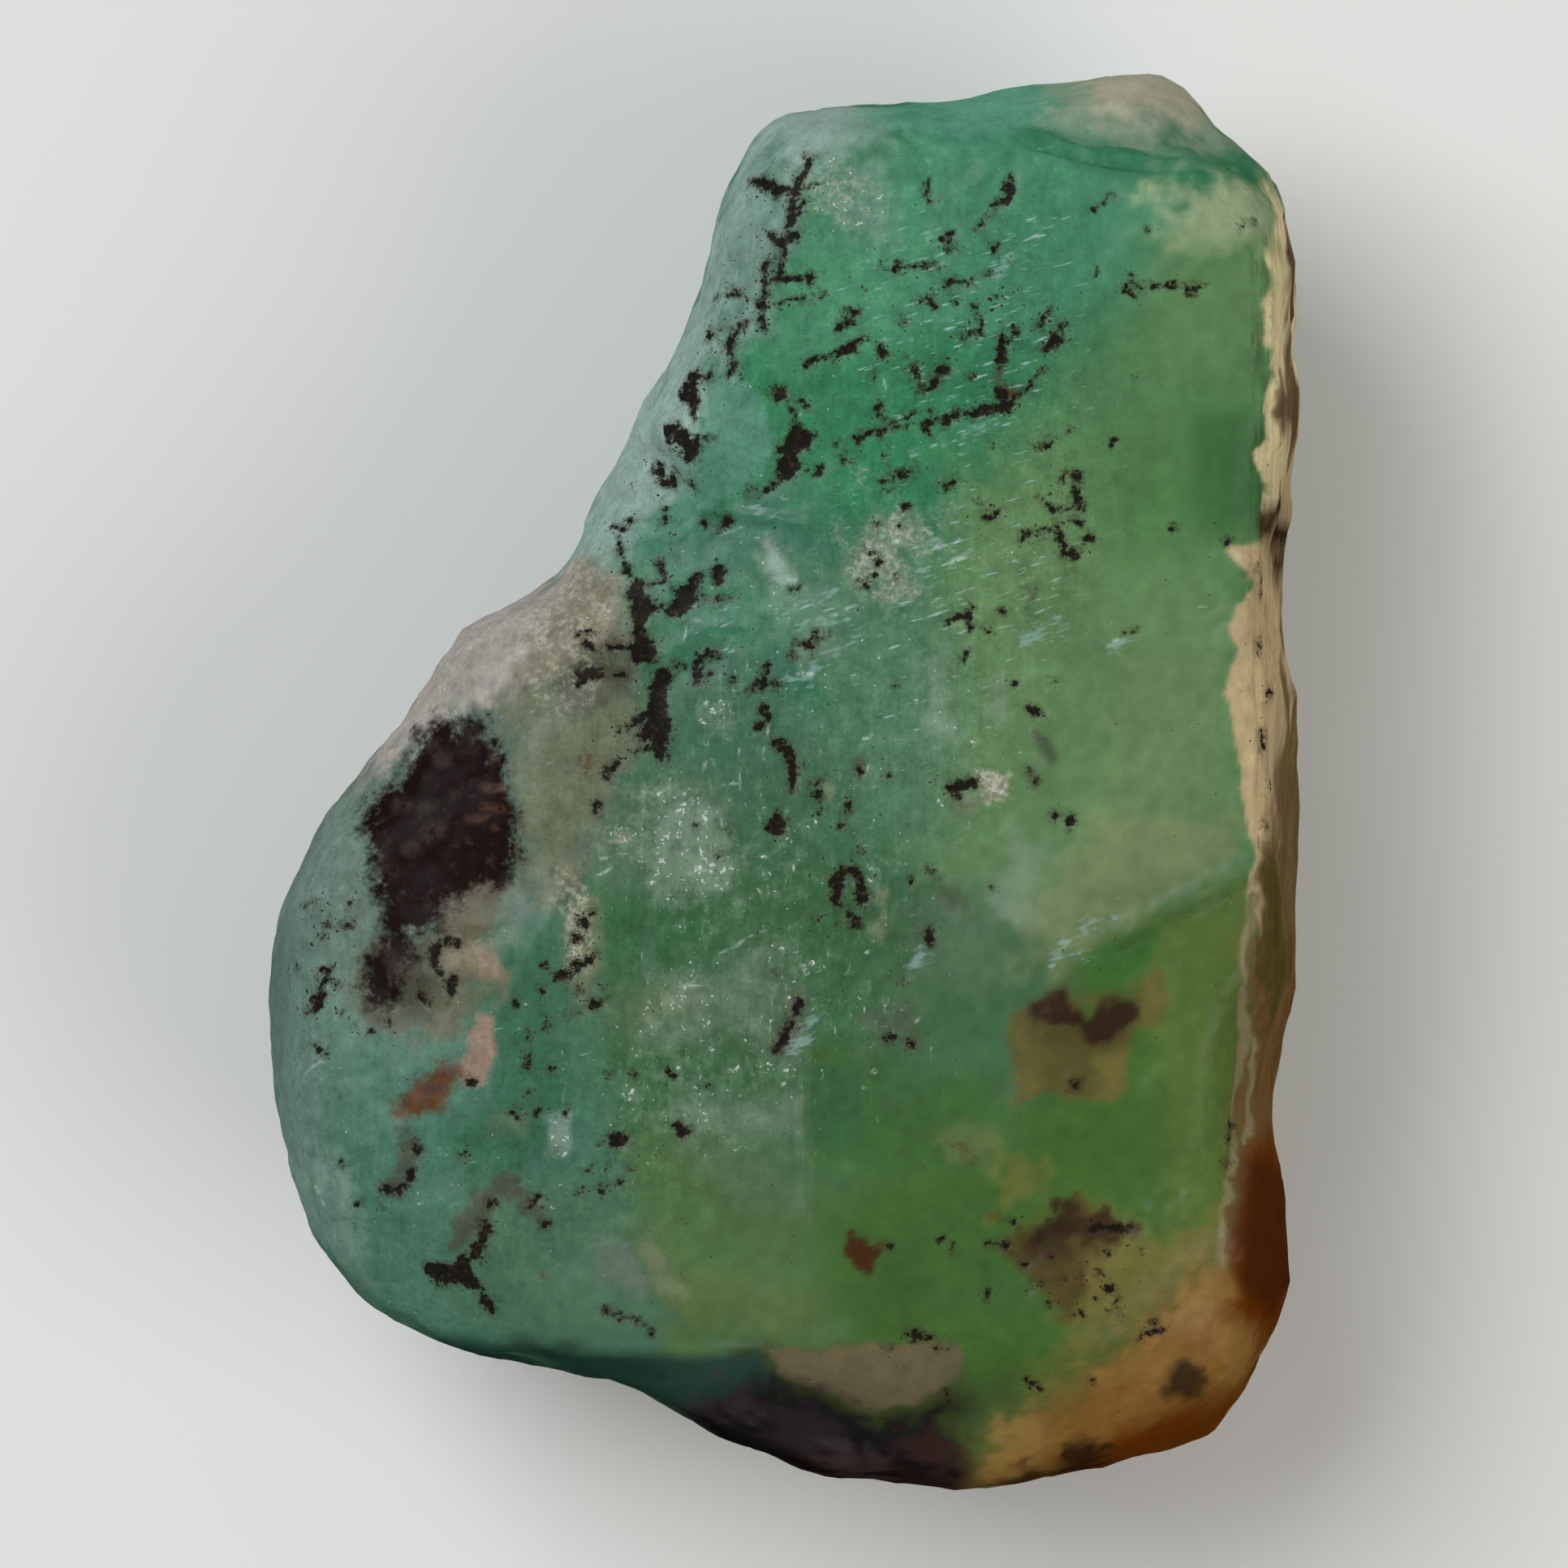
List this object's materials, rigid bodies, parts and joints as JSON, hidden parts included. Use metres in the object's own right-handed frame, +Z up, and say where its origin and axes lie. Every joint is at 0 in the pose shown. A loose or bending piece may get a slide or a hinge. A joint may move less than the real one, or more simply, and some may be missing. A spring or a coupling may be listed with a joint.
{
  "type": "rough emerald crystal",
  "caption": "Rough emerald crystal lying on its back: milky green, broad flat upper face, dark mica specks, tan rind down the right wall, rounded left lobe and an amber lower corner.",
  "frame": {"origin": "on the flat resting face, under the middle of the whole outline", "axes": "+Z up, out of the resting face towards the broad flat upper face; +Y along the stone's length, towards its narrower end; +X towards the straight wall with the tan rind"},
  "size_m": [0.0254, 0.0348, 0.0129],
  "materials": {
    "emerald": "milky translucent stone with a dull glassy surface"
  },
  "bodies": {
    "root": {"emerald_crystal": "emerald"}
  },
  "joints": []
}
